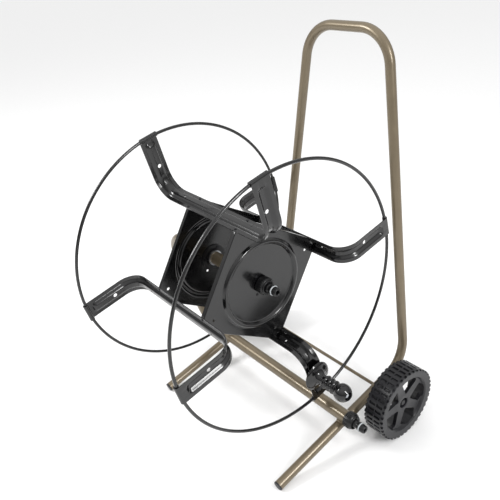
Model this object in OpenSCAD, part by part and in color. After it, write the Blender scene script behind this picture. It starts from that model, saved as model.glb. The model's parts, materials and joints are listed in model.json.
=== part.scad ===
// Garden hose reel cart: one bent tube makes the feet, legs and push handle, a C-shaped
// water tube on the feet carries the reel on one end, and two wheels run on a rod behind.
// X runs along the axle and the reel axis, Y points to the rear (handle side), Z is up.

/* [Frame] */
// Outer diameter of the bent frame tube
tube_d = 22; // [20:1:25]
// Wall thickness of the frame tube
tube_wall = 1.5; // [1:0.25:2]
// Distance between the centre lines of the two feet
foot_spacing = 432; // [400:2:460]
// Angle at which the feet rise from their front tips to the axle
foot_slope = 13.5; // [12:0.5:16]
// How far behind the axle the foot line and the leg line meet
leg_setback = 98; // [90:2:120]
// Height of the top of the push handle
handle_height = 870; // [800:10:960]
// Distance between the leg lines where they meet the handle bar
handle_width = 221; // [200:1:280]
// How far behind the axle the handle bar stands
handle_setback = 138; // [120:2:170]
// Centre line radius of every bend in the frame tube
bend_r = 80; // [60:5:90]

/* [Wheels] */
// Outer diameter of each wheel
wheel_d = 175; // [160:5:190]
// Width of the tread
wheel_w = 50; // [40:2:56]
// Distance over the outer faces of both wheels
wheel_track = 606; // [600:2:640]
// Diameter of the axle rod
axle_d = 8; // [8:1:10]
// Number of tread blocks round each wheel
tread_count = 40; // [30:2:48]
// Number of spokes in each wheel
spoke_count = 5; // [4:1:7]

/* [Water tube] */
// Outer diameter of the water tube that carries the reel
support_d = 30; // [28:1:32]
// Wall thickness of the water tube
support_wall = 2.5; // [2:0.25:3]
// Centre line radius of its two bends
support_bend_r = 70; // [60:5:80]
// Distance from the axle forward to its lower run
support_forward = 122; // [110:2:140]
// Clear distance from the far ring to its upright run
support_gap = 74; // [60:2:90]

/* [Reel] */
// Height of the reel axis
reel_height = 403; // [395:1:430]
// Distance from the axle forward to the reel axis
reel_forward = 202; // [200:1:215]
// Sideways position of the middle of the reel
reel_offset = -18; // [-24:1:-12]
// Centre line radius of the wire rings
ring_r = 287; // [270:1:290]
// Distance between the planes of the two rings
ring_gap = 366; // [340:2:372]
// Diameter of the ring wire
wire_d = 7; // [6:0.5:8]
// Radius from the reel axis to the seat of the four arms
drum_r = 150; // [140:1:155]
// Width of the pressed strip of the arms
arm_w = 42; // [38:1:46]
// Thickness of the strip of the arms
arm_t = 2; // [1.5:0.25:2.5]
// Height of the stiffening bead along the strip
bead_h = 7; // [5:0.5:8]
// Outer radius of the two bends of each arm
arm_bend_r = 45; // [36:1:55]
// Angle of the first arm above the horizontal
arm_angle = 12.5; // [0:0.5:30]
// Size across the flats of the square side plates
plate_size = 240; // [228:1:250]
// Distance between the outer faces of the side plates
plate_gap = 172; // [150:2:190]
// Sheet thickness of the side plates
plate_t = 1.5; // [1:0.25:2]
// Radius from the reel axis to the crank and to the holes in the arms
crank_r = 218; // [212:1:226]

/* [Crank grip] */
// Length of the grip
grip_l = 96; // [90:1:105]
// Diameter of its hand guard
guard_d = 68; // [60:1:72]
// Diameter of the ball at its end
ball_d = 40; // [36:1:42]

/* [Hose fittings] */
// Outer diameter of the ribbed union nuts
nut_d = 38; // [36:1:40]
// Diameter of the male thread under a union nut
thread_d = 26; // [24:1:28]
// Outer diameter of the quick connect spigot at its nose
nose_d = 18; // [16:1:19]

/* [Hidden] */
$fn = 64;
run_fit = 0.05;
tube_r = tube_d / 2;
foot_x = foot_spacing / 2;
wheel_r = wheel_d / 2;
support_r = support_d / 2;
// Feet: the tip's lower edge stands on the floor and the foot line passes through the axle
plug_bevel = 1.3;
tip_z = tube_r * cos(foot_slope) - plug_bevel * sin(foot_slope);
tip_y = -(wheel_r - tip_z) / tan(foot_slope);
tip = [foot_x, tip_y, tip_z];
knee = [foot_x, leg_setback, wheel_r + leg_setback * tan(foot_slope)];
corner = [handle_width / 2, handle_setback, handle_height - tube_r];
plug_flange = 3.5;
// Water tube: it is set a little way into the top of both feet
saddle = tube_wall / 2;
bar_y = -support_forward;
bar_z = wheel_r + bar_y * tan(foot_slope)
    + (tube_r + support_r - saddle) / cos(foot_slope);
bar_end_x = foot_x + tube_r + 5;
reel_y = -reel_forward;
reel_z = reel_height;
ring_half = ring_gap / 2;
wire_r = wire_d / 2;
sleeve_r = wire_r + arm_t;
spoke_x = ring_half + sleeve_r;
upright_x = reel_offset - ring_half - sleeve_r - support_gap - support_r / 2;
plate_half = plate_gap / 2;
hub_depth = 8;
support_end_x = reel_offset + plate_half - plate_t - hub_depth - 0.5;
// Bounding box, so that the origin is under its middle
box_x = (wheel_track / 2 + upright_x - support_r) / 2;
box_y = (handle_setback + tube_r + reel_y - ring_r - wire_r) / 2;
// Axle and wheels
axle_r = axle_d / 2;
washer_t = 1.6;
hub_in = foot_x + tube_r + washer_t + 0.5;
hub_out = wheel_track / 2 - 18;
tread_depth = 5;
cap_t = 7;
// Hubs of the two side plates: flange, socket and the rivets through them
rivet_r = 2;
head_r = 3.2;
head_t = 1.6;
hub_rivet_r = support_r + 9.5;
joint_gap = 0.01;
joint_skin = 0.1;
hub_flange_t = 3;
corner_hole_r = drum_r - 19;
plate_edge = 10;
rivet_inset = 5;
bush_r = support_r + 4;
bush_flange_r = 30;
bush_in = 5;
small_hole_r = 3;
small_hole_place = 35;
small_hole_turn = 183;
socket_l = 34;
seal_depth = 20;
clip_t = 1.75;
thrust_t = 1.5;
clip_x = reel_offset - plate_half + plate_t + bush_in + 0.4 + thrust_t;
// Strip of the arms: half width of the bead at its foot and at its top
bead_foot = 12;
bead_top = 4.5;
bead_side = 0.8;
// Crank, measured outward from the face of the spoke
collar_t = 3;
grip_start = collar_t + 0.4;
grip_floor = grip_start + grip_l - 16;
bolt_r = 4;
sleeve_bolt_r = 5;
// Union fitting, measured outward from the face that it is screwed on
thread_r = thread_d / 2;
thread_l = 14;
gasket_t = 2.5;
stem_r = nose_d / 2 + 0.5;
water_r = 5;
flange_t = 2.5;
oring_r = 1.5;
oring_x = thread_l + gasket_t + flange_t + 20.5;
union_l = oring_x + oring_r + 11;

// ---- Helpers ----

// Moves the cart so that the origin is on the floor under the middle of its box
module cart() { translate([-box_x, -box_y, 0]) children(); }

// Puts children, drawn about a Z axis, on the X axis with +Z turned to +X
module along_x() { rotate([0, 90, 0]) children(); }

// Reel frame: X along the reel axis from the middle of the reel
module on_reel() { cart() translate([reel_offset, reel_y, reel_z]) children(); }

// Turns children drawn in the +Z direction to the arm direction number n
module at_arm(n) { rotate([arm_angle - 90 + 90 * n, 0, 0]) children(); }

// Ring shaped section of a tube
module tube_section(d, wall) {
    difference() {
        circle(d = d);
        circle(d = d - 2 * wall);
    }
}

// Direction of a vector, and the point at distance l from b toward a
function unit(v) = v / norm(v);
function toward(b, a, l) = b + unit(a - b) * l;
// Angle by which a path turns in the corner b
function turn_at(a, b, c) = 180 - acos(unit(a - b) * unit(c - b));
// Length that a bend of radius r takes from each run at point number i of the path p
function taken(p, i, r) = i < 1 || i > len(p) - 2 ? 0
    : r * tan(turn_at(p[i - 1], p[i], p[i + 1]) / 2);
// Axis about which the path turns at point i, and the twist from the bend before it
function bend_axis(p, i) = unit(cross(p[i] - p[i - 1], p[i + 1] - p[i]));
function twist_at(p, i) = i > len(p) - 2 ? 0
    : let (a = bend_axis(p, i - 1), b = bend_axis(p, i))
        atan2(cross(a, b) * unit(p[i] - p[i - 1]), a * b);

// Run number i of a bent tube and all that follows it, from the local origin along Z,
// with the next bend turning toward X. A ring inside the wall joins it to the bend before,
// across a seam of joint_gap that keeps the two ends from nearly coinciding.
module tube_from(p, i, r, d, wall) {
    l = norm(p[i] - p[i - 1]) - taken(p, i - 1, r) - taken(p, i, r);
    start = i > 1 ? joint_gap : 0;
    translate([0, 0, start]) linear_extrude(l - start) tube_section(d, wall);
    if (i > 1) translate([0, 0, -wall]) linear_extrude(2 * wall)
        tube_section(d - 2 * joint_skin, wall - 2 * joint_skin);
    if (i < len(p) - 1) {
        turn = turn_at(p[i - 1], p[i], p[i + 1]);
        translate([r, 0, l]) {
            rotate([-90, 180, 0]) rotate_extrude(angle = turn, $fn = 96)
                translate([r, 0]) tube_section(d, wall);
            rotate([0, turn, 0]) translate([-r, 0, 0]) rotate(twist_at(p, i + 1))
                tube_from(p, i + 1, r, d, wall);
        }
    }
}

// Tube along the corner points p, with bends of centre line radius r
module routed_tube(p, r, d, wall) {
    z = unit(p[1] - p[0]);
    y = bend_axis(p, 1);
    x = cross(y, z);
    multmatrix([
        [x.x, y.x, z.x, p[0].x],
        [x.y, y.y, z.y, p[0].y],
        [x.z, y.z, z.z, p[0].z],
        [0, 0, 0, 1]
    ])
        tube_from(p, 1, r, d, wall);
}

// Flat ring about Z
module disc_ring(r_out, r_in, h) {
    difference() {
        cylinder(r = r_out, h = h);
        translate([0, 0, -1]) cylinder(r = r_in, h = h + 2);
    }
}

// ---- Frame ----

module frame_tube() {
    tube_end = toward(tip, knee, plug_flange);
    right = [tube_end, knee, corner];
    left = [for (i = [2 : -1 : 0]) [-right[i].x, right[i].y, right[i].z]];
    color("#85786a") cart() difference() {
        routed_tube(concat(right, left), bend_r, tube_d, tube_wall);
        translate([-foot_x - tube_d, bar_y, bar_z]) along_x()
            cylinder(r = support_r, h = foot_spacing + 2 * tube_d);
        translate([-foot_x - tube_d, 0, wheel_r]) along_x()
            cylinder(r = axle_r + run_fit, h = foot_spacing + 2 * tube_d);
    }
}

// Black end plug of a foot, side is 1 or -1
module foot_plug(side) {
    inner_r = tube_r - tube_wall;
    color("#1b1b1c") cart() translate([side * foot_x, tip.y, tip.z])
        rotate([foot_slope - 90, 0, 0]) union() {
            cylinder(r1 = tube_r - plug_bevel, r2 = tube_r, h = plug_bevel);
            translate([0, 0, plug_bevel]) cylinder(r = tube_r, h = plug_flange - plug_bevel);
            translate([0, 0, plug_flange]) cylinder(r = inner_r, h = 14);
        }
}

module support_tube() {
    path = [
        [bar_end_x, bar_y, bar_z], [upright_x, bar_y, bar_z],
        [upright_x, reel_y, reel_z], [support_end_x, reel_y, reel_z]
    ];
    color("#85786a") cart() difference() {
        routed_tube(path, support_bend_r, support_d, support_wall);
        translate([clip_x, reel_y, reel_z]) along_x()
            disc_ring(support_r + 2, support_r - 1, clip_t + 0.1);
    }
}

// ---- Axle and wheels ----

module wheel_axle() {
    half = hub_out + cap_t - 1;
    color("#85786a") cart() translate([-half, 0, wheel_r]) along_x()
        cylinder(r = axle_r, h = 2 * half);
}

module axle_washers() {
    color("#8f9296") cart() for (side = [-1, 1])
        translate([side * (foot_x + tube_r) + (side < 0 ? -washer_t : 0), 0, wheel_r])
            along_x() disc_ring(9, axle_r + 0.2, washer_t);
}

// Push-on cap that holds a wheel on the rod, side is 1 or -1
module axle_cap(side) {
    color("#26262a") cart() translate([side * (hub_out + 0.4), 0, wheel_r])
        rotate([0, side * 90, 0]) difference() {
            union() {
                cylinder(r = 9, h = 2);
                translate([0, 0, 2]) cylinder(r1 = 7.5, r2 = 6, h = cap_t - 2);
            }
            translate([0, 0, -1]) cylinder(r = axle_r, h = cap_t - 0.4);
        }
}

// Outline of a spoke window: a small arc near the hub and a wide arc near the rim
function arc(c, r, a0, a1, n) =
    [for (i = [0 : n]) c + r * [cos(a0 + (a1 - a0) * i / n), sin(a0 + (a1 - a0) * i / n)]];

module spoke_window(r_in, r_out) {
    small = 5;
    big = min(16, 150 / spoke_count / 2);
    polygon(concat(
        arc([r_in + small, 0], small, 105, 255, 8),
        arc([r_out - big, 0], big, -75, 75, 12)
    ));
}

// Pockets and edge notches of the tread: rows of blocks that are taken out of the tyre
module tread_cuts() {
    block = 360 / tread_count;
    w = 3.1 * wheel_r / tread_count;
    lug = 4.5;
    rib = 3;
    row = wheel_w / 2 - lug - 1.5 * rib;
    for (i = [0 : tread_count - 1]) {
        for (z = [lug + rib, wheel_w / 2 + rib / 2])
            rotate(block * i) translate([wheel_r - tread_depth, -w / 2, z])
                cube([tread_depth + 3, w, row]);
        for (z = [-2, wheel_w - lug])
            rotate(block * (i + 0.5)) translate([wheel_r - 3.5, -w / 2, z])
                cube([6.5, w, lug + 2]);
    }
}

// Wheel about Z, with its outer face at the top and its hub reaching down to the foot
module wheel_solid() {
    rim_r = 0.755 * wheel_r;
    skirt_r = wheel_r - tread_depth - 4;
    hub_r = 17;
    hub_z = hub_in - wheel_track / 2 + wheel_w;
    disc_top = wheel_w - 10;
    disc_low = wheel_w - 18;
    difference() {
        union() {
            cylinder(r = wheel_r, h = wheel_w, $fn = 120);
            translate([0, 0, hub_z]) cylinder(r = hub_r, h = wheel_w / 2 - hub_z);
        }
        tread_cuts();
        // Recess in the outer face, hollows in the inner face, windows and hub bore
        translate([0, 0, disc_top]) cylinder(r = rim_r, h = 11);
        translate([0, 0, -1]) disc_ring(rim_r, hub_r, disc_low + 1);
        translate([0, 0, -1]) disc_ring(skirt_r, rim_r + 4, wheel_w - 5);
        for (i = [0 : spoke_count - 1]) rotate(i * 360 / spoke_count + 90)
            translate([0, 0, wheel_w / 2]) linear_extrude(wheel_w)
                spoke_window(hub_r + 4, rim_r - 1);
        translate([0, 0, hub_z - 1]) cylinder(r = axle_r + run_fit, h = 2 * wheel_w);
        translate([0, 0, disc_low]) cylinder(r = 13, h = 20);
    }
}

module wheel(side) {
    color("#2b2b2d") cart() translate([side * (wheel_track / 2 - wheel_w), 0, wheel_r])
        rotate([0, side * 90, 0]) wheel_solid();
}

// ---- Union fitting, drawn about Z from the face that it is screwed on ----

module union_gasket() {
    translate([0, 0, thread_l]) disc_ring(thread_r - 0.4, water_r + 2, gasket_t);
}

module union_nut() {
    back = 1;
    front = thread_l + gasket_t + flange_t + 3;
    rib_h = front - back - 4;
    difference() {
        union() {
            translate([0, 0, back]) cylinder(d = nut_d - 2, h = front - back);
            for (i = [0 : 23]) rotate(i * 15) translate([nut_d / 2 - 2, -1.2, back])
                cube([2, 2.4, rib_h]);
            translate([0, 0, front]) cylinder(r1 = nut_d / 2 - 3, r2 = nut_d / 2 - 4, h = 2.5);
        }
        cylinder(r = thread_r + run_fit, h = thread_l + gasket_t + flange_t);
        translate([0, 0, front - 4]) cylinder(r = stem_r + 0.3, h = 10);
        translate([0, 0, front]) cylinder(r1 = stem_r + 2, r2 = nut_d / 2 - 5.5, h = 3);
    }
}

module union_nipple() {
    base = thread_l + gasket_t;
    groove_r = stem_r - 1.5;
    nose_r = nose_d / 2;
    rotate_extrude() polygon([
        [water_r, base], [thread_r - 0.4, base], [thread_r - 0.4, base + flange_t],
        [stem_r, base + flange_t], [stem_r, base + 10], [groove_r, base + 12],
        [groove_r, base + 17], [stem_r + 0.5, base + 18.5], [stem_r + 0.5, oring_x - oring_r],
        [groove_r, oring_x - oring_r], [groove_r, oring_x + oring_r],
        [stem_r, oring_x + oring_r], [stem_r, oring_x + 5], [nose_r, oring_x + 6.5],
        [nose_r, union_l - 2], [nose_r - 1.5, union_l], [water_r, union_l]
    ]);
}

module union_oring() {
    translate([0, 0, oring_x]) rotate_extrude()
        translate([stem_r - 1.5 + oring_r, 0]) circle(r = oring_r, $fn = 32);
}

module on_inlet() {
    cart() translate([bar_end_x + 2, bar_y, bar_z]) along_x() children();
}

module on_outlet() { on_reel() translate([plate_half, 0, 0]) along_x() children(); }

// Threaded end welded into the lower run of the water tube
module inlet_stub() {
    color("#85786a") on_inlet() difference() {
        union() {
            cylinder(r = thread_r, h = thread_l);
            translate([0, 0, -2]) cylinder(r = support_r, h = 2);
            translate([0, 0, -20]) cylinder(r = support_r - support_wall, h = 18);
        }
        translate([0, 0, -21]) cylinder(r = 8, h = thread_l + 22);
    }
}

// ---- Reel ----

// Outline of a side plate: a square with half size h and corners cut at distance a
function plate_outline(h, a) = let (k = a * sqrt(2) - h)
    [[h, k], [k, h], [-k, h], [-h, k], [-h, -k], [-k, -h], [k, -h], [h, -k]];

// Frame of a side plate, side is 1 or -1: z = 0 on its outer face, -Z toward the drum
module on_plate(side) {
    on_reel() rotate([arm_angle - 45, 0, 0]) translate([side * plate_half, 0, 0])
        rotate([0, side * 90, 0]) children();
}

// Places children round the axis on the centres of the three hub rivets
module hub_rivet_places() {
    for (i = [0 : 2]) rotate(120 * i) translate([hub_rivet_r, 0, 0]) children();
}

// Places children on the rivet centres in the corner flanges, pointing outward
module corner_rivet_places() {
    for (i = [0 : 3], s = [-1, 1]) rotate(45 + 90 * i)
        translate([drum_r, s * (arm_w / 2 - rivet_inset), -plate_edge / 2])
            rotate([0, 90, 0]) children();
}

// Side plate: its turned edge reaches down, the round bead stands up
module plate_solid(bore_r) {
    h = plate_size / 2;
    press_r = 95;
    press_w = 7;
    difference() {
        union() {
            difference() {
                translate([0, 0, -plate_edge]) linear_extrude(plate_edge)
                    polygon(plate_outline(h, drum_r));
                translate([0, 0, -plate_edge - plate_t]) linear_extrude(plate_edge)
                    polygon(plate_outline(h - plate_t, drum_r - plate_t));
                translate([0, 0, -plate_t - 1]) cylinder(r = press_r, h = plate_edge);
            }
            translate([0, 0, -plate_t]) rotate_extrude($fn = 128) difference() {
                union() {
                    square([press_r + 1, plate_t]);
                    translate([press_r, 0]) circle(r = press_w, $fn = 48);
                }
                translate([press_r, 0]) circle(r = press_w - plate_t, $fn = 48);
                translate([0, -20]) square([press_r * 2, 20]);
            }
        }
        // Centre bore, the four corner holes and the rivet holes
        translate([0, 0, -20]) cylinder(r = bore_r, h = 40);
        for (i = [0 : 3]) rotate(45 + 90 * i) translate([corner_hole_r, 0, -20])
            cylinder(r = 3.5, h = 40);
        translate([0, 0, -20]) hub_rivet_places() cylinder(r = rivet_r, h = 40);
        corner_rivet_places() cylinder(r = rivet_r, h = 20, center = true);
    }
}

// The far plate has one more small hole, below the water tube
module plate(side, bore_r) {
    color("#1d1d1f") on_plate(side) difference() {
        plate_solid(bore_r);
        if (side < 0) rotate(small_hole_turn) translate([small_hole_place, 0, -20])
            cylinder(r = small_hole_r, h = 40);
    }
}

module plate_rivets() {
    color("#2a2a2c") for (side = [-1, 1]) on_plate(side) corner_rivet_places() {
        translate([0, 0, -plate_t - head_t]) cylinder(r = head_r, h = head_t);
        translate([0, 0, -plate_t]) cylinder(r = rivet_r, h = plate_t + arm_t);
        translate([0, 0, arm_t]) cylinder(r1 = head_r, r2 = rivet_r, h = head_t);
    }
}

// Section of the strip: x across the strip, y from its outer face to the inside of the U
function strip_section() = let (w = arm_w / 2, a = bead_foot, b = bead_top, t = arm_t) [
    [-w, 0], [-a, 0], [-b, bead_h], [b, bead_h], [a, 0], [w, 0],
    [w, t], [a + bead_side, t], [b + bead_side, bead_h + t],
    [-b - bead_side, bead_h + t], [-a - bead_side, t], [-w, t]
];

// One end of an arm in the reel frame: half of the bar, the bend, the spoke and its sleeve
module arm_half(side) {
    bar = spoke_x - arm_bend_r;
    bead_end = ring_r - 24;
    sleeve_turn = 2.12 * asin(arm_w / 2 / ring_r);
    mirror([side < 0 ? 1 : 0, 0, 0]) {
        translate([0, 0, drum_r]) rotate([90, 0, 90]) linear_extrude(bar)
            polygon(strip_section());
        translate([bar, 0, drum_r + arm_bend_r]) rotate([90, 0, 0])
            rotate_extrude(angle = 90, start = -90, $fn = 72)
                polygon([for (q = strip_section()) [arm_bend_r - q.y, q.x]]);
        translate([spoke_x, 0, drum_r + arm_bend_r]) rotate([0, 0, 90])
            linear_extrude(bead_end - drum_r - arm_bend_r) polygon(strip_section());
        translate([spoke_x - arm_t, -arm_w / 2, bead_end])
            cube([arm_t, arm_w, ring_r - wire_r + 1 - bead_end]);
        // Sloped end of the bead
        translate([spoke_x, bead_top + bead_side, bead_end]) rotate([90, 0, 0])
            linear_extrude(2 * (bead_top + bead_side))
                polygon([[-arm_t / 4, 0], [-bead_h - arm_t, 0], [-arm_t / 4, bead_h + 3]]);
        // Sleeve rolled round the ring wire
        rotate([0, 90, 0]) rotate(180 - sleeve_turn / 2)
            rotate_extrude(angle = sleeve_turn, $fn = 360)
                translate([ring_r, ring_half]) tube_section(2 * sleeve_r, arm_t);
    }
}

module arm_solid() {
    difference() {
        union() {
            arm_half(1);
            arm_half(-1);
        }
        translate([-spoke_x - 10, 0, crank_r]) along_x()
            cylinder(r = bolt_r + 0.5, h = 2 * spoke_x + 20);
        for (side = [-1, 1]) {
            translate([side * (ring_half - 70), 0, drum_r - 5]) cylinder(r = 2.5, h = 30);
            for (s = [-1, 1])
                translate([
                    side * (plate_half - plate_edge / 2), s * (arm_w / 2 - rivet_inset), drum_r
                ])
                    cylinder(r = rivet_r, h = 20, center = true);
        }
    }
}

module arm(n) { color("#1d1d1f") on_reel() at_arm(n) arm_solid(); }

module ring(side) {
    color("#1d1d1f") on_reel() translate([side * ring_half, 0, 0]) along_x()
        rotate_extrude($fn = 180) translate([ring_r, 0]) circle(r = wire_r, $fn = 32);
}

// Flanged nylon bush of the far plate, running on the water tube
module far_bush() {
    color("#202022") on_plate(-1) difference() {
        union() {
            translate([0, 0, -plate_t - hub_flange_t])
                cylinder(r = bush_flange_r, h = hub_flange_t);
            translate([0, 0, -plate_t - bush_in]) cylinder(r = bush_r, h = plate_t + bush_in + 6);
        }
        translate([0, 0, -40]) cylinder(r = support_r + run_fit, h = 60);
        translate([0, 0, -20]) hub_rivet_places() cylinder(r = rivet_r, h = 20);
    }
}

module thrust_washer() {
    color("#202022") cart() translate([clip_x - thrust_t, reel_y, reel_z]) along_x()
        disc_ring(support_r + 5, support_r + 0.2, thrust_t - 0.05);
}

// Spring ring in the groove of the water tube, open at one side
module circlip() {
    color("#8f9296") cart() translate([clip_x + 0.05, reel_y, reel_z]) along_x() difference() {
        cylinder(r = support_r + 3, h = clip_t);
        translate([0, 0, -1]) cylinder(r = support_r - 1, h = clip_t + 2);
        translate([0, -3, -1]) cube([support_d, 6, clip_t + 2]);
    }
}

// Hub of the near plate: a socket that runs on the end of the water tube, with the outlet thread
module outlet_hub() {
    floor_z = -plate_t - hub_depth;
    mouth_z = -plate_t - socket_l;
    color("#202022") on_plate(1) difference() {
        union() {
            translate([0, 0, mouth_z]) cylinder(r = support_r + 6, h = socket_l);
            translate([0, 0, -plate_t - hub_flange_t])
                cylinder(r = bush_flange_r, h = hub_flange_t);
            translate([0, 0, -plate_t - 1]) cylinder(r = thread_r, h = plate_t + 1 + thread_l);
        }
        translate([0, 0, mouth_z - 1]) cylinder(r = support_r + run_fit, h = floor_z - mouth_z + 1);
        translate([0, 0, mouth_z]) cylinder(r = 8, h = socket_l + 40);
        // Groove of the seal
        translate([0, 0, -plate_t - seal_depth - 1.8])
            disc_ring(support_r + 2.4, support_r - 1, 3.6);
        translate([0, 0, -20]) hub_rivet_places() cylinder(r = rivet_r, h = 20);
    }
}

module hub_oring() {
    seal_r = 1.15;
    color("#3a3a3c") on_plate(1) translate([0, 0, -plate_t - seal_depth]) rotate_extrude()
        translate([support_r + 0.08 + seal_r, 0]) circle(r = seal_r, $fn = 32);
}

// Three rivets through each hub flange and side plate
module hub_rivets() {
    floor_z = -plate_t - hub_flange_t;
    color("#2a2a2c") for (side = [-1, 1]) on_plate(side) hub_rivet_places() {
        translate([0, 0, floor_z - head_t]) cylinder(r = head_r, h = head_t);
        translate([0, 0, floor_z]) cylinder(r = rivet_r, h = -floor_z);
        cylinder(r1 = head_r, r2 = rivet_r, h = head_t);
    }
}

// ---- Crank on the near spoke of the bottom arm, drawn about Z from the spoke's outer face ----

module on_crank() {
    on_reel() at_arm(-1) translate([spoke_x, 0, crank_r]) along_x() children();
}

// Shouldered pin riveted through the spoke: collar, bearing length and threaded end
module crank_pin() {
    head = bead_h + arm_t;
    color("#3b3b3e") on_crank() union() {
        translate([0, 0, -head - 4]) cylinder(r = 8, h = 4);
        translate([0, 0, -head - 1]) cylinder(r = bolt_r + 0.4, h = head + 2);
        cylinder(r = 13, h = collar_t);
        translate([0, 0, collar_t - 1])
            cylinder(r = sleeve_bolt_r, h = grip_floor - collar_t + 1.6);
        translate([0, 0, grip_floor - 1]) cylinder(r = bolt_r, h = 12);
    }
}

module crank_washer() {
    color("#8f9296") on_crank() translate([0, 0, grip_floor + 0.6])
        disc_ring(8, bolt_r + 0.05, 1.5);
}

module crank_nut() {
    color("#8f9296") on_crank() translate([0, 0, grip_floor + 2.1]) difference() {
        cylinder(r = 7.5, h = 6.5, $fn = 6);
        translate([0, 0, -1]) cylinder(r = bolt_r, h = 9, $fn = 48);
    }
}

// Grip with a hand guard, three ribs and a ball end
module crank_grip() {
    neck_r = 12;
    ball_z = grip_l - ball_d / 2 + 1;
    ribs = [for (i = [0 : 2]) 32 + i * (grip_l - 62) / 3];
    color("#141415") on_crank() translate([0, 0, grip_start]) difference() {
        union() {
            // Hand guard, domed toward the fingers
            cylinder(r = guard_d / 2 - 1, h = 4);
            translate([0, 0, 1.5]) cylinder(r1 = guard_d / 2, r2 = guard_d / 2 - 3, h = 4.5);
            translate([0, 0, 6]) cylinder(r1 = guard_d / 2 - 3, r2 = neck_r + 6, h = 6);
            translate([0, 0, 12]) cylinder(r1 = neck_r + 6, r2 = neck_r, h = 9);
            cylinder(r = neck_r, h = ball_z);
            for (z = ribs) translate([0, 0, z]) rotate_extrude()
                translate([neck_r - 0.5, 0]) circle(r = 4, $fn = 32);
            translate([0, 0, ball_z]) sphere(r = ball_d / 2, $fn = 64);
        }
        translate([0, 0, -1]) cylinder(r = sleeve_bolt_r + run_fit, h = grip_l + 2);
        translate([0, 0, grip_l - 16]) cylinder(r = 9.5, h = 30);
        translate([0, 0, grip_l]) cylinder(r = ball_d, h = 10);
    }
}

// ---- Nodes ----

frame_tube();
foot_plug(-1);  // foot_plug_left
foot_plug(1);  // foot_plug_right
support_tube();
wheel_axle();
axle_washers();
axle_cap(-1);  // axle_cap_left
axle_cap(1);  // axle_cap_right
wheel(-1);  // wheel_left
wheel(1);  // wheel_right
inlet_stub();
color("#2a2a2c") on_inlet() union_gasket();  // inlet_gasket
color("#232325") on_inlet() union_nut();  // inlet_nut
color("#232325") on_inlet() union_nipple();  // inlet_nipple
color("#c9cacb") on_inlet() union_oring();  // inlet_oring
plate(-1, bush_r);  // far_plate
plate(1, thread_r + 0.2);  // near_plate
arm(0);  // arm_rear
arm(1);  // arm_top
arm(2);  // arm_front
arm(-1);  // arm_bottom
ring(-1);  // far_ring
ring(1);  // near_ring
plate_rivets();
far_bush();
thrust_washer();
circlip();
outlet_hub();
hub_oring();
hub_rivets();
color("#2a2a2c") on_outlet() union_gasket();  // outlet_gasket
color("#232325") on_outlet() union_nut();  // outlet_nut
color("#232325") on_outlet() union_nipple();  // outlet_nipple
color("#c9cacb") on_outlet() union_oring();  // outlet_oring
crank_pin();
crank_washer();
crank_nut();
crank_grip();
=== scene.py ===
import json
import math
import bmesh
import bpy
from mathutils import Matrix, Vector


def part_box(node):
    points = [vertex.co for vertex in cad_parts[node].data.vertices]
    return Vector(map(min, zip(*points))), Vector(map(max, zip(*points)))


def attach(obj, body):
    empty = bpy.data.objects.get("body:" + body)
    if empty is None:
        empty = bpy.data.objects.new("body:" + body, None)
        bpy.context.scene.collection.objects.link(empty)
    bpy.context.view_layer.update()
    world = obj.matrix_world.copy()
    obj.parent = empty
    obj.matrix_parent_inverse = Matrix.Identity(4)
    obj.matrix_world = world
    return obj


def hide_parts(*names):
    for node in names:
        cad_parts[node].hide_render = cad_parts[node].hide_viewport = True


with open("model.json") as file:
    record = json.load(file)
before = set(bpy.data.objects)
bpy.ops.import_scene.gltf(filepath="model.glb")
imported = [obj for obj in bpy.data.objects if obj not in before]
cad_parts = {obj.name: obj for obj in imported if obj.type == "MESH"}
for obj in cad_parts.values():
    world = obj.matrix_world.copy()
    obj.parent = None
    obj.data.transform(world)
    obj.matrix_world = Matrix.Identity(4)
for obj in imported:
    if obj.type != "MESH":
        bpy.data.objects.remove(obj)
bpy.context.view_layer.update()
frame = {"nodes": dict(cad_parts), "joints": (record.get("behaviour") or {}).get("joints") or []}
MM = 0.001
pivot = {j["name"]: Vector(j["pos_m"]) for j in frame["joints"]}
reel_centre = pivot["reel_turn"]


# ---- Bent frame tube ----
# One steel tube makes both feet, both legs and the push handle. It is bent cold, welded to
# the water tube where they cross, and sprayed with a satin bronze metallic enamel.

def linear(code):
    parts = [int(code[i:i + 2], 16) / 255 for i in (1, 3, 5)]
    return [p / 12.92 if p <= 0.04045 else ((p + 0.055) / 1.055) ** 2.4 for p in parts] + [1.0]


def add_node(material, kind, **inputs):
    node = material.node_tree.nodes.new(kind)
    for name, value in inputs.items():
        socket = node.inputs[name.replace("_", " ")]
        if isinstance(value, bpy.types.NodeSocket):
            material.node_tree.links.new(value, socket)
        else:
            socket.default_value = value
    return node


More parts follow.
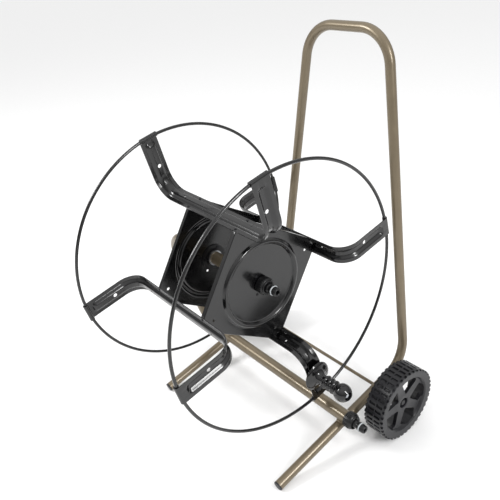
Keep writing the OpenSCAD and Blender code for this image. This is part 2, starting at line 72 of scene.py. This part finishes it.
def coating(name, dark, light, roughness, grain_mm, grain_depth_mm, metallic=0.0, coat=0.0,
            shine=0.5):
    """Shader of a coated, moulded or plated surface: cloudy colour, uneven gloss, fine grain."""
    material = bpy.data.materials.new(name)
    material.use_nodes = True
    shader = material.node_tree.nodes["Principled BSDF"]
    shader.inputs["Metallic"].default_value = metallic
    shader.inputs["Coat Weight"].default_value = coat
    shader.inputs["Coat Roughness"].default_value = 0.12
    shader.inputs["Specular IOR Level"].default_value = shine
    place = add_node(material, "ShaderNodeTexCoord").outputs["Object"]
    clouds = add_node(material, "ShaderNodeTexNoise", Vector=place, Scale=1 / (30 * MM),
                      Detail=4.0)
    blend = add_node(material, "ShaderNodeMix", Factor=clouds.outputs["Fac"])
    blend.data_type = "RGBA"
    blend.inputs[6].default_value = linear(dark)
    blend.inputs[7].default_value = linear(light)
    material.node_tree.links.new(blend.outputs[2], shader.inputs["Base Color"])
    gloss = add_node(material, "ShaderNodeMapRange", Value=clouds.outputs["Fac"],
                     To_Min=roughness * 0.85, To_Max=roughness * 1.2)
    material.node_tree.links.new(gloss.outputs["Result"], shader.inputs["Roughness"])
    grain = add_node(material, "ShaderNodeTexNoise", Vector=place,
                     Scale=1 / (grain_mm * MM), Detail=3.0)
    bump = add_node(material, "ShaderNodeBump", Height=grain.outputs["Fac"],
                    Distance=grain_depth_mm * MM, Strength=0.6)
    material.node_tree.links.new(bump.outputs["Normal"], shader.inputs["Normal"])
    return material


def finish_piece(name, bm, material, finish_slot, body, *stands_for, crease=38):
    """Closes the mesh work on a piece and sets it on the body that carries it."""
    bmesh.ops.remove_doubles(bm, verts=bm.verts, dist=0.002 * MM)
    bmesh.ops.recalc_face_normals(bm, faces=bm.faces)
    mesh = bpy.data.meshes.new(name)
    bm.to_mesh(mesh)
    bm.free()
    mesh.shade_smooth()
    mesh.set_sharp_from_angle(angle=math.radians(crease))
    mesh.materials.append(material)
    piece = bpy.data.objects.new(name, mesh)
    bpy.context.scene.collection.objects.link(piece)
    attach(piece, body)
    if stands_for:
        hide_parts(*stands_for)
    return piece


def bend_tube(bm, corners, bend_radius, tube_radius):
    """Sweeps a ring of the tube along its corners, turning it through each bend."""
    heading = (corners[1] - corners[0]).normalized()
    turn_in = heading.to_track_quat("Z", "Y").to_matrix().to_4x4()
    start = bmesh.ops.create_circle(bm, segments=36, radius=tube_radius,
                                    matrix=Matrix.Translation(corners[0]) @ turn_in)
    ring = list({e for v in start["verts"] for e in v.link_edges})
    used = 0.0
    for i in range(1, len(corners)):
        heading = (corners[i] - corners[i - 1]).normalized()
        run = (corners[i] - corners[i - 1]).length - used
        used = 0.0
        if i < len(corners) - 1:
            onward = (corners[i + 1] - corners[i]).normalized()
            angle = heading.angle(onward)
            used = bend_radius * math.tan(angle / 2)
        grown = bmesh.ops.extrude_edge_only(bm, edges=ring)["geom"]
        verts = [g for g in grown if isinstance(g, bmesh.types.BMVert)]
        bmesh.ops.translate(bm, verts=verts, vec=heading * (run - used))
        ring = [g for g in grown if isinstance(g, bmesh.types.BMEdge)
                and all(v in verts for v in g.verts)]
        if used:
            axis = heading.cross(onward).normalized()
            start_of_bend = corners[i] - heading * used
            centre = start_of_bend + axis.cross(heading) * bend_radius
            spun = bmesh.ops.spin(bm, geom=verts + ring, cent=centre, axis=axis,
                                  angle=angle, steps=20)["geom_last"]
            ring = [g for g in spun if isinstance(g, bmesh.types.BMEdge)]
    bmesh.ops.holes_fill(bm, edges=bm.edges, sides=0)


bronze_enamel = coating("bronze_metallic_enamel", "#6a5f4c", "#786c58", 0.32, 0.5, 0.012,
                        metallic=0.4, coat=0.2)
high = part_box("frame_tube")[1]
axle_at = pivot["right_wheel_spin"]
tube_radius = 11 * MM
foot_line = 216 * MM
slope = math.radians(13.5)
knee_y = axle_at.y + 98 * MM
knee = Vector((foot_line, knee_y, axle_at.z + 98 * MM * math.tan(slope)))
plug_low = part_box("foot_plug_right")[0]
toe_y = plug_low.y + 6 * MM
toe = Vector((foot_line, toe_y, axle_at.z - (axle_at.y - toe_y) * math.tan(slope)))
handle_end = Vector((110.5 * MM, high.y - tube_radius, high.z - tube_radius))


def other_side(point):
    return Vector((-point.x, point.y, point.z))


bm = bmesh.new()
bend_tube(bm, [toe, knee, handle_end, other_side(handle_end), other_side(knee), other_side(toe)],
          80 * MM, tube_radius)
finish_piece("bent_frame_tube", bm, bronze_enamel, "bronze_paint", "frame", "frame_tube")


# ---- Water tube ----
# A thicker steel tube bent to a C. Its lower run lies across both feet, its upper run is the
# shaft that the reel turns on, and the water runs through it. Welded, then sprayed bronze.

tube_low, tube_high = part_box("support_tube")
water_radius = 15 * MM
run_y = tube_high.y - water_radius
run_z = tube_low.z + water_radius
bm = bmesh.new()
bend_tube(bm, [Vector((tube_high.x, run_y, run_z)),
               Vector((tube_low.x + water_radius, run_y, run_z)),
               Vector((tube_low.x + water_radius, reel_centre.y, reel_centre.z)),
               Vector((reel_centre.x + 74 * MM, reel_centre.y, reel_centre.z))],
          70 * MM, water_radius)
finish_piece("water_tube", bm, bronze_enamel, "bronze_paint", "frame", "support_tube")

# Weld beads where the lower run crosses the feet: a rippled ring that fills the corner
for side in (-1, 1):
    bm = bmesh.new()
    foot_z = axle_at.z - (axle_at.y - run_y) * math.tan(slope)
    joint_z = foot_z + tube_radius - 1.5 * MM
    bmesh.ops.create_circle(bm, segments=10, radius=2.6 * MM,
                            matrix=Matrix.Translation((8.5 * MM, 0, 0))
                            @ Matrix.Rotation(math.pi / 2, 4, "X"))
    bmesh.ops.spin(bm, geom=bm.verts[:] + bm.edges[:], cent=(0, 0, 0), axis=(0, 0, 1),
                   angle=2 * math.pi, steps=48, use_merge=True)
    for vert in bm.verts:
        around = math.atan2(vert.co.y, vert.co.x)
        out = vert.co.copy()
        out.z = 0
        vert.co.z -= 3.2 * MM * math.cos(around) ** 2
        vert.co += out.normalized() * 0.3 * MM * math.sin(24 * around)
    bmesh.ops.translate(bm, verts=bm.verts, vec=(side * foot_line, run_y, joint_z))
    finish_piece("weld_bead_" + ("left" if side < 0 else "right"), bm, bronze_enamel,
                 "bronze_paint", "frame")


# ---- Axle, its washers and caps, and the plugs of the feet ----
# The rod is sprayed with the frame; the washers are zinc plated; caps and plugs are moulded
# from black polyethylene and pushed on.

soft_plastic = coating("moulded_black_polyethylene", "#161618", "#1f1f21", 0.5, 0.9, 0.02)
zinc_plate = coating("bright_zinc_plated_steel", "#a9adb2", "#c3c6ca", 0.3, 0.7, 0.006,
                     metallic=1.0)


def repaint(material, *names):
    for name in names:
        mesh = frame["nodes"][name].data
        mesh.materials.clear()
        mesh.materials.append(material)


repaint(bronze_enamel, "wheel_axle", "inlet_stub")
repaint(soft_plastic, "foot_plug_left", "foot_plug_right", "axle_cap_left", "axle_cap_right")
repaint(zinc_plate, "axle_washers", "circlip", "crank_washer", "crank_nut", "crank_pin")


# ---- Wheels ----
# Each wheel is one blow of black plastic: a tread with two rows of pockets and notched edges,
# a deep rim, and five spokes that open out toward the rim. It turns on the bare rod.

wheel_plastic = coating("moulded_wheel_plastic", "#141416", "#202024", 0.33, 0.8, 0.03,
                        shine=0.4)


def turn_profile(bm, points, steps, closed=True):
    """Spins a section, given as radius and height along the axis, round Z."""
    verts = [bm.verts.new((r * MM, 0, z * MM)) for r, z in points]
    last = len(verts) if closed else len(verts) - 1
    edges = [bm.edges.new((verts[i], verts[(i + 1) % len(verts)])) for i in range(last)]
    bmesh.ops.spin(bm, geom=verts + edges, cent=(0, 0, 0), axis=(0, 0, 1),
                   angle=2 * math.pi, steps=steps, use_merge=True)
    bmesh.ops.remove_doubles(bm, verts=bm.verts, dist=0.002 * MM)
    bmesh.ops.recalc_face_normals(bm, faces=bm.faces)


def soften_edges(bm, width_mm, least_angle=35):
    """Rounds every edge that is sharper than the least angle."""
    sharp = [e for e in bm.edges
             if e.is_manifold and e.calc_face_angle(0) > math.radians(least_angle)]
    bmesh.ops.bevel(bm, geom=sharp, offset=width_mm * MM, offset_type="OFFSET", segments=2,
                    profile=0.5, affect="EDGES", material=-1, clamp_overlap=True)


def cut_out(piece, cutter_bm):
    """Takes the cutter's shape out of a piece and leaves a plain mesh."""
    cutter_mesh = bpy.data.meshes.new("cutter")
    bmesh.ops.recalc_face_normals(cutter_bm, faces=cutter_bm.faces)
    cutter_bm.to_mesh(cutter_mesh)
    cutter_bm.free()
    cutter = bpy.data.objects.new("cutter", cutter_mesh)
    bpy.context.scene.collection.objects.link(cutter)
    cut = piece.modifiers.new("cut", "BOOLEAN")
    cut.operation = "DIFFERENCE"
    cut.solver = "EXACT"
    cut.object = cutter
    bpy.context.view_layer.update()
    graph = bpy.context.evaluated_depsgraph_get()
    result = bpy.data.meshes.new_from_object(piece.evaluated_get(graph))
    piece.modifiers.clear()
    piece.data = result
    bpy.data.objects.remove(cutter)


wheel_radius, wheel_width = 87.5, 50.0
rim_radius = 66.0
lug, rib = 4.5, 3.0
block_count = 40
half_row = wheel_width / 2
for side, joint_name, node_name in ((-1, "left_wheel_spin", "wheel_left"),
                                    (1, "right_wheel_spin", "wheel_right")):
    body = node_name.split("_")[1] + "_wheel"
    bm = bmesh.new()
    turn_profile(bm, [
        (17, -23.9), (17, 32), (rim_radius, 32), (rim_radius, 2), (70, 0), (78.5, 0),
        (78.5, 0.6), (83, 0), (87.5, 0), (87.5, lug), (87.5, lug + rib),
        (87.5, half_row - rib / 2), (87.5, half_row + rib / 2),
        (87.5, wheel_width - lug - rib), (87.5, wheel_width - lug), (87.5, wheel_width),
        (84, wheel_width), (rim_radius + 3.5, wheel_width - 1.2), (rim_radius, wheel_width - 4),
        (rim_radius - 1.5, 42), (60, 40.5), (24, 40), (15, 41), (13, 40.4), (13, 33), (4.1, 33),
        (4.1, -23.9)], block_count * 4)
    rows = ((lug + rib, half_row - rib / 2), (half_row + rib / 2, wheel_width - lug - rib))
    pockets = []
    for face in bm.faces:
        centre = face.calc_center_median()
        radius = math.hypot(centre.x, centre.y) / MM
        column = int((math.degrees(math.atan2(centre.y, centre.x)) % 360) / (90 / block_count))
        height = centre.z / MM
        if radius > 86 and column % 4 in (0, 1) and any(a < height < b for a, b in rows):
            pockets.append(face)
    bmesh.ops.inset_region(bm, faces=pockets, thickness=0.5 * MM, depth=-4.5 * MM,
                           use_even_offset=True)
    soften_edges(bm, 0.35, 50)
    turn = Matrix.Rotation(side * math.pi / 2, 4, "Y")
    wheel = finish_piece("wheel_" + node_name.split("_")[1] + "_moulding", bm, wheel_plastic,
                         "wheel_plastic", body, node_name)
    cutter = bmesh.new()
    for i in range(5):
        window = bmesh.new()
        outline = [(21, 0), (32, 9), (54, 27.5), (66, 13), (66, -13), (54, -27.5), (32, -9)]
        window.faces.new([window.verts.new((r * MM, t * MM, 20 * MM)) for r, t in outline])
        bmesh.ops.bevel(window, geom=window.verts[:], offset=5 * MM, offset_type="OFFSET",
                        segments=5, profile=0.5, affect="VERTICES", material=-1,
                        clamp_overlap=True)
        grown = bmesh.ops.extrude_face_region(window, geom=window.faces[:])["geom"]
        bmesh.ops.translate(window, vec=(0, 0, 40 * MM),
                            verts=[g for g in grown if isinstance(g, bmesh.types.BMVert)])
        bmesh.ops.rotate(window, cent=(0, 0, 0), verts=window.verts,
                         matrix=Matrix.Rotation(math.radians(90 + 72 * i), 3, "Z"))
        shape = bpy.data.meshes.new("window")
        window.to_mesh(shape)
        window.free()
        cutter.from_mesh(shape)
        bpy.data.meshes.remove(shape)
    notch_width = 3.1 * wheel_radius / block_count
    notch_depth, notch_reach, notch_over = 3.5, 2.9, 2
    for i in range(block_count):
        for z in ((lug - notch_over) / 2, wheel_width - (lug - notch_over) / 2):
            bmesh.ops.create_cube(
                cutter, size=MM,
                matrix=Matrix.Rotation(math.radians((i + 0.75) * 360 / block_count), 4, "Z")
                @ Matrix.Translation(
                    Vector((wheel_radius + (notch_reach - notch_depth) / 2, 0, z)) * MM)
                @ Matrix.Diagonal((notch_depth + notch_reach, notch_width, lug + notch_over, 1)))
    cut_out(wheel, cutter)
    centre = pivot[joint_name]
    outer_face = 303 * MM
    wheel.data.transform(Matrix.Translation((side * (outer_face - wheel_width * MM), centre.y,
                                             centre.z)) @ turn)
    wheel.data.shade_smooth()
    wheel.data.set_sharp_from_angle(angle=math.radians(32))


# ---- Wire rings ----
# Two hoops of round steel wire, butt welded and powder coated black with the rest of the reel.

black_powder = coating("semi_gloss_black_powder_coat", "#040405", "#09090a", 0.22, 1.6, 0.03,
                       coat=0.45, shine=0.4)
ring_radius, wire_radius, ring_half = 287.0, 3.5, 183.0
for side, node_name in ((-1, "far_ring"), (1, "near_ring")):
    bm = bmesh.new()
    bmesh.ops.create_circle(bm, segments=16, radius=wire_radius * MM,
                            matrix=Matrix.Translation((ring_radius * MM, 0, 0))
                            @ Matrix.Rotation(math.pi / 2, 4, "X"))
    bmesh.ops.spin(bm, geom=bm.verts[:] + bm.edges[:], cent=(0, 0, 0), axis=(0, 0, 1),
                   angle=2 * math.pi, steps=240, use_merge=True)
    bmesh.ops.transform(bm, verts=bm.verts, space=Matrix.Identity(4),
                        matrix=Matrix.Translation(reel_centre + Vector((side * ring_half * MM,
                                                                        0, 0)))
                        @ Matrix.Rotation(math.pi / 2, 4, "Y"))
    finish_piece(node_name + "_hoop", bm, black_powder, "reel_paint", "reel", node_name)


# ---- Arms of the reel ----
# Four strips of pressed sheet steel, each bent to a U with a stiffening bead along it. The
# ends are rolled round the hoops, and the middle is riveted to the side plates.

arm_angle = 12.5
drum_radius, bend = 150.0, 45.0
spoke_x = 188.5
crank_radius = 218.0


def drill(cutter, centre, direction, radius_mm, length_mm=60):
    turn_to = Vector(direction).to_track_quat("Z", "Y").to_matrix().to_4x4()
    bmesh.ops.create_cone(cutter, cap_ends=True, segments=24, radius1=radius_mm * MM,
                          radius2=radius_mm * MM, depth=length_mm * MM,
                          matrix=Matrix.Translation(Vector(centre) * MM) @ turn_to)


for number, node_name in ((0, "arm_rear"), (1, "arm_top"), (2, "arm_front"), (-1, "arm_bottom")):
    bm = bmesh.new()
    across = [(-21, 0), (-13.5, 0), (-11.5, 0.7), (-9.5, 2.6), (-7, 5.6), (-5, 6.8), (-3, 7),
              (3, 7), (5, 6.8), (7, 5.6), (9.5, 2.6), (11.5, 0.7), (13.5, 0), (21, 0)]
    verts = [bm.verts.new((0, y * MM, (drum_radius + d) * MM)) for y, d in across]
    edges = [bm.edges.new(pair) for pair in zip(verts, verts[1:])]

    def run_strip(edges, step):
        grown = bmesh.ops.extrude_edge_only(bm, edges=edges)["geom"]
        new = [g for g in grown if isinstance(g, bmesh.types.BMVert)]
        bmesh.ops.translate(bm, verts=new, vec=step)
        return [g for g in grown if isinstance(g, bmesh.types.BMEdge)
                and all(v in new for v in g.verts)], new

    edges, verts = run_strip(edges, Vector((spoke_x - bend, 0, 0)) * MM)
    spun = bmesh.ops.spin(bm, geom=verts + edges, axis=(0, -1, 0), angle=math.pi / 2, steps=14,
                          cent=Vector((spoke_x - bend, 0, drum_radius + bend)) * MM)["geom_last"]
    edges = [g for g in spun if isinstance(g, bmesh.types.BMEdge)]
    bead_end = ring_radius - 24
    edges, verts = run_strip(edges, Vector((0, 0, bead_end - drum_radius - bend)) * MM)
    edges, verts = run_strip(edges, Vector((0, 0, 5)) * MM)
    for v in verts:
        v.co.x = (spoke_x * MM) + (v.co.x - spoke_x * MM) * 0.55
    edges, verts = run_strip(edges, Vector((0, 0, 5)) * MM)
    for v in verts:
        v.co.x = spoke_x * MM
    edges, verts = run_strip(edges, Vector((0, 0, ring_radius - bead_end - 10)) * MM)
    bmesh.ops.spin(bm, geom=verts + edges, axis=(0, -1, 0), angle=math.radians(320), steps=26,
                   cent=Vector((ring_half, 0, ring_radius)) * MM)
    bmesh.ops.mirror(bm, geom=bm.verts[:] + bm.edges[:] + bm.faces[:], axis="X",
                     matrix=Matrix.Identity(4), merge_dist=0.01 * MM)
    arm = finish_piece(node_name + "_pressing", bm, black_powder, "reel_paint", "reel", node_name)
    thick = arm.modifiers.new("sheet", "SOLIDIFY")
    thick.thickness = 2 * MM
    bar_faces = [f for f in arm.data.polygons if abs(f.normal.z) > 0.9
                 and abs(f.center.x) < 0.1 and f.center.z < 0.156]
    thick.offset = -1 if bar_faces[0].normal.z < 0 else 1
    cutter = bmesh.new()
    drill(cutter, (0, 0, crank_radius), (1, 0, 0), 4.5, 500)
    for end in (-1, 1):
        drill(cutter, (end * 113, 0, drum_radius + 5), (0, 0, 1), 2.5)
    cut_out(arm, cutter)
    arm.data.transform(Matrix.Translation(reel_centre)
                       @ Matrix.Rotation(math.radians(arm_angle - 90 + 90 * number), 4, "X"))
    arm.data.shade_smooth()
    arm.data.set_sharp_from_angle(angle=math.radians(35))
    arm.modifiers.new("flat_faces", "WEIGHTED_NORMAL").keep_sharp = True


# ---- Side plates ----
# Two squares of pressed sheet steel with cut corners, a turned edge and a raised round bead.
# The near one carries the outlet hub, the far one the bush; powder coated black.

plate_half, plate_edge, plate_sheet = 86.0, 10.0, 1.5
corner_hole_at, corner_hole = 131, 3.5
small_hole_at, small_hole, small_hole_turn = 35, 3, 183
for side, node_name, bore in ((-1, "far_plate", 19.0), (1, "near_plate", 13.2)):
    bm = bmesh.new()
    bead = [(bore, 0), (86, 0), (88, 0.4), (89.2, 2), (90.5, 4.6), (92.4, 6.4), (95, 7),
            (97.6, 6.4), (99.5, 4.6), (100.8, 2), (102, 0.4), (104, 0)]
    turn_profile(bm, bead, 192, closed=False)
    half, fold, corner_cut = 117.8, 2.2, 147.6
    rim = [e for e in bm.edges if e.is_boundary
           and all(math.hypot(v.co.x, v.co.y) > 103 * MM for v in e.verts)]
    grown = bmesh.ops.extrude_edge_only(bm, edges=rim)["geom"]
    verts = [g for g in grown if isinstance(g, bmesh.types.BMVert)]
    rim = [g for g in grown if isinstance(g, bmesh.types.BMEdge)
           and all(v in verts for v in g.verts)]
    for v in verts:
        x, y = abs(v.co.x), abs(v.co.y)
        v.co.xy *= min(half / max(x, y), corner_cut * math.sqrt(2) / (x + y)) * MM
    reach = half
    for turned in (30, 60, 90, None):
        grown = bmesh.ops.extrude_edge_only(bm, edges=rim)["geom"]
        verts = [g for g in grown if isinstance(g, bmesh.types.BMVert)]
        rim = [g for g in grown if isinstance(g, bmesh.types.BMEdge)
               and all(v in verts for v in g.verts)]
        if turned is None:
            bmesh.ops.translate(bm, vec=(0, 0, (fold - plate_edge) * MM), verts=verts)
            break
        wider = half + fold * math.sin(math.radians(turned))
        bmesh.ops.scale(bm, vec=(wider / reach, wider / reach, 1), verts=verts)
        reach = wider
        for v in verts:
            v.co.z = -fold * (1 - math.cos(math.radians(turned))) * MM
    plate = finish_piece(node_name + "_pressing", bm, black_powder, "reel_paint", "reel",
                         node_name)
    thick = plate.modifiers.new("sheet", "SOLIDIFY")
    thick.thickness = plate_sheet * MM
    top = [f for f in plate.data.polygons if abs(f.normal.z) > 0.9]
    thick.offset = -1 if top[0].normal.z > 0 else 1
    cutter = bmesh.new()
    for i in range(4):
        a = math.radians(45 + 90 * i)
        drill(cutter, (corner_hole_at * math.cos(a), corner_hole_at * math.sin(a), 0),
              (0, 0, 1), corner_hole)
    if side < 0:
        a = math.radians(small_hole_turn)
        drill(cutter, (small_hole_at * math.cos(a), small_hole_at * math.sin(a), 0),
              (0, 0, 1), small_hole)
    cut_out(plate, cutter)
    plate.data.transform(
        Matrix.Translation(reel_centre) @ Matrix.Rotation(math.radians(arm_angle - 45), 4, "X")
        @ Matrix.Translation((side * plate_half * MM, 0, 0))
        @ Matrix.Rotation(side * math.pi / 2, 4, "Y"))
    plate.data.shade_smooth()
    plate.data.set_sharp_from_angle(angle=math.radians(40))
    plate.modifiers.new("flat_faces", "WEIGHTED_NORMAL").keep_sharp = True


# ---- Hubs, rivets and seals of the reel ----
# The bush and the outlet hub are glass filled nylon, held by blackened steel rivets; the
# seals are black nitrile rubber.

filled_nylon = coating("glass_filled_black_nylon", "#0c0c0d", "#161618", 0.3, 0.6, 0.02,
                       shine=0.4)
black_rivet = coating("blackened_rivet_steel", "#19191b", "#2a2a2d", 0.3, 0.8, 0.01, metallic=0.6)
nitrile = coating("black_nitrile_rubber", "#151516", "#1d1d1e", 0.6, 0.5, 0.02)
repaint(filled_nylon, "far_bush", "outlet_hub", "thrust_washer")
repaint(black_rivet, "plate_rivets", "hub_rivets")
repaint(nitrile, "hub_oring", "inlet_gasket", "outlet_gasket")


# ---- Hose fittings ----
# Two quick connect fittings of black nylon: a ribbed union nut, and a spigot with a groove
# for the coupling's claws and a pale sealing ring near its tip.

pale_rubber = coating("pale_grey_sealing_rubber", "#a6aaad", "#bcc0c3", 0.45, 0.6, 0.01)
for prefix, body, seat in (("inlet", "frame", Vector((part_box("inlet_stub")[1].x - 14 * MM,
                                                      run_y, run_z))),
                           ("outlet", "reel", reel_centre + Vector((86 * MM, 0, 0)))):
    set_on = Matrix.Translation(seat) @ Matrix.Rotation(math.pi / 2, 4, "Y")
    bm = bmesh.new()
    turn_profile(bm, [(13.05, 1), (17.4, 1), (18, 1.6), (18, 3), (18, 16.5), (17.6, 18.2),
                      (16.4, 19.6), (15.6, 20.2), (15.6, 22.4), (14.9, 23.6), (14, 24),
                      (12.6, 23.2), (11.4, 21.8), (9.9, 21.2), (9.9, 18), (13.05, 18)], 96)
    ribs = [f for f in bm.faces
            if math.hypot(*f.calc_center_median().xy) > 17.9 * MM
            and 3 * MM < f.calc_center_median().z < 16.5 * MM
            and int((math.degrees(math.atan2(f.calc_center_median().y,
                                             f.calc_center_median().x)) % 360) / 3.75) % 4 < 2]
    bmesh.ops.inset_region(bm, faces=ribs, thickness=0.25 * MM, depth=0.95 * MM,
                           use_even_offset=True)
    soften_edges(bm, 0.25, 45)
    bmesh.ops.transform(bm, verts=bm.verts, matrix=set_on, space=Matrix.Identity(4))
    finish_piece(prefix + "_union_nut", bm, filled_nylon, "fitting_plastic", body,
                 prefix + "_nut")
    bm = bmesh.new()
    turn_profile(bm, [(5, 16.5), (12.6, 16.5), (12.6, 19), (9.5, 19), (9.5, 26), (9.1, 27.2),
                      (8.2, 28.4), (8, 29.2), (8, 32.4), (8.4, 33.6), (9.6, 35), (10, 35.6),
                      (10, 37.8), (9.8, 38), (8, 38), (8, 41), (9.3, 41), (9.5, 41.2),
                      (9.5, 44), (9, 45.5), (9, 50), (8.4, 51.2), (7.5, 52), (6, 52), (5, 51)],
                 64)
    bmesh.ops.transform(bm, verts=bm.verts, matrix=set_on, space=Matrix.Identity(4))
    finish_piece(prefix + "_spigot", bm, filled_nylon, "fitting_plastic", body,
                 prefix + "_nipple", crease=30)
    bm = bmesh.new()
    bmesh.ops.create_circle(bm, segments=16, radius=1.5 * MM,
                            matrix=Matrix.Translation((9.5 * MM, 0, 39.5 * MM))
                            @ Matrix.Rotation(math.pi / 2, 4, "X"))
    bmesh.ops.spin(bm, geom=bm.verts[:] + bm.edges[:], cent=(0, 0, 0), axis=(0, 0, 1),
                   angle=2 * math.pi, steps=64, use_merge=True)
    bmesh.ops.transform(bm, verts=bm.verts, matrix=set_on, space=Matrix.Identity(4))
    finish_piece(prefix + "_sealing_ring", bm, pale_rubber, "oring_rubber", body,
                 prefix + "_oring")


# ---- Crank grip ----
# Glossy black moulded grip that turns on a riveted pin: a round hand guard, a neck with
# three ribs and a ball at the end with a recess for the nut.

glossy_grip = coating("polished_black_moulding", "#060607", "#0a0a0b", 0.12, 2.5, 0.02,
                      coat=0.2)
crank_at = pivot["grip_spin"]
grip_low, grip_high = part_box("crank_grip")
ball = 20.0
grip_length = (grip_high.x - grip_low.x) / MM
bm = bmesh.new()
profile = [(5.05, 0), (30, 0), (32.5, 0.6), (33.6, 1.8), (33.6, 3), (32, 5), (28, 7.2), (22, 9.4),
           (17, 12), (14, 15.5), (12.4, 20), (12, 24)]
rib_at = [32, 43.3, 54.6]
for z in rib_at:
    profile += [(12, z - 4.4), (13.4, z - 3.6), (15, z - 2), (15.6, z), (15, z + 2),
                (13.4, z + 3.6), (12, z + 4.4)]
ball_z = 77.0
for a in range(-55, 62, 9):
    profile.append((ball * math.cos(math.radians(a)), ball_z + ball * math.sin(math.radians(a))))
profile += [(10.6, grip_length), (9.8, grip_length - 0.5), (9.5, grip_length - 2), (9.5, 80.5),
            (5.05, 80.5)]
turn_profile(bm, profile, 72)
bmesh.ops.transform(bm, verts=bm.verts, space=Matrix.Identity(4),
                    matrix=Matrix.Translation((grip_low.x, crank_at.y, crank_at.z))
                    @ Matrix.Rotation(math.pi / 2, 4, "Y"))
finish_piece("crank_grip_moulding", bm, glossy_grip, "grip_plastic", "grip", "crank_grip",
             crease=30)


# ---- Studio ----
# Plain pale floor, soft surroundings that are brightest overhead, two soft boxes, the camera.

floor_white = coating("pale_studio_floor", "#f2f2f2", "#f6f6f6", 0.9, 40, 0.02)
bm = bmesh.new()
bmesh.ops.create_grid(bm, x_segments=4, y_segments=4, size=60)
floor_mesh = bpy.data.meshes.new("studio_floor")
bm.to_mesh(floor_mesh)
bm.free()
floor_mesh.materials.append(floor_white)
floor = bpy.data.objects.new("studio_floor", floor_mesh)
bpy.context.scene.collection.objects.link(floor)

world = bpy.data.worlds.new("studio_white")
bpy.context.scene.world = world
world.use_nodes = True
sky = world.node_tree.nodes["Background"]
sky.inputs["Color"].default_value = (1, 1, 1, 1)
height = add_node(world, "ShaderNodeSeparateXYZ",
                  Vector=add_node(world, "ShaderNodeTexCoord").outputs["Generated"])
falloff = add_node(world, "ShaderNodeMapRange", Value=height.outputs["Z"], From_Min=0.0,
                   From_Max=0.9, To_Min=0.22, To_Max=1.25)
world.node_tree.links.new(falloff.outputs["Result"], sky.inputs["Strength"])


def soft_box(name, place, target, size, power):
    light = bpy.data.lights.new(name, "AREA")
    light.shape = "RECTANGLE"
    light.size, light.size_y = size
    light.energy = power
    lamp = bpy.data.objects.new(name, light)
    lamp.location = place
    lamp.rotation_euler = (Vector(target) - Vector(place)).to_track_quat("-Z", "Y").to_euler()
    bpy.context.scene.collection.objects.link(lamp)


soft_box("key_soft_box", (-1.6, -1.9, 2.3), (0, 0, 0.4), (0.6, 1.0), 60)
soft_box("fill_soft_box", (2.4, 0.2, 1.9), (0, 0, 0.4), (0.4, 1.2), 40)

camera_data = bpy.data.cameras.new("photo_camera")
camera_data.lens = 42.22
camera_data.sensor_width = 36
camera = bpy.data.objects.new("photo_camera", camera_data)
bpy.context.scene.collection.objects.link(camera)
bearing, pitch, roll = (math.radians(a) for a in (53.10, 28.59, -5.41))
forward = Vector((-math.sin(bearing) * math.cos(pitch), math.cos(bearing) * math.cos(pitch),
                  -math.sin(pitch)))
right = Vector((math.cos(bearing), math.sin(bearing), 0))
up = right.cross(forward)
side_axis = right * math.cos(roll) + up * math.sin(roll)
up_axis = up * math.cos(roll) - right * math.sin(roll)
pose = Matrix((side_axis, up_axis, -forward)).transposed().to_4x4()
camera.matrix_world = Matrix.Translation((0.89332, -0.67134, 1.05489)) @ pose
bpy.context.scene.camera = camera
bpy.context.scene.view_settings.view_transform = "Standard"
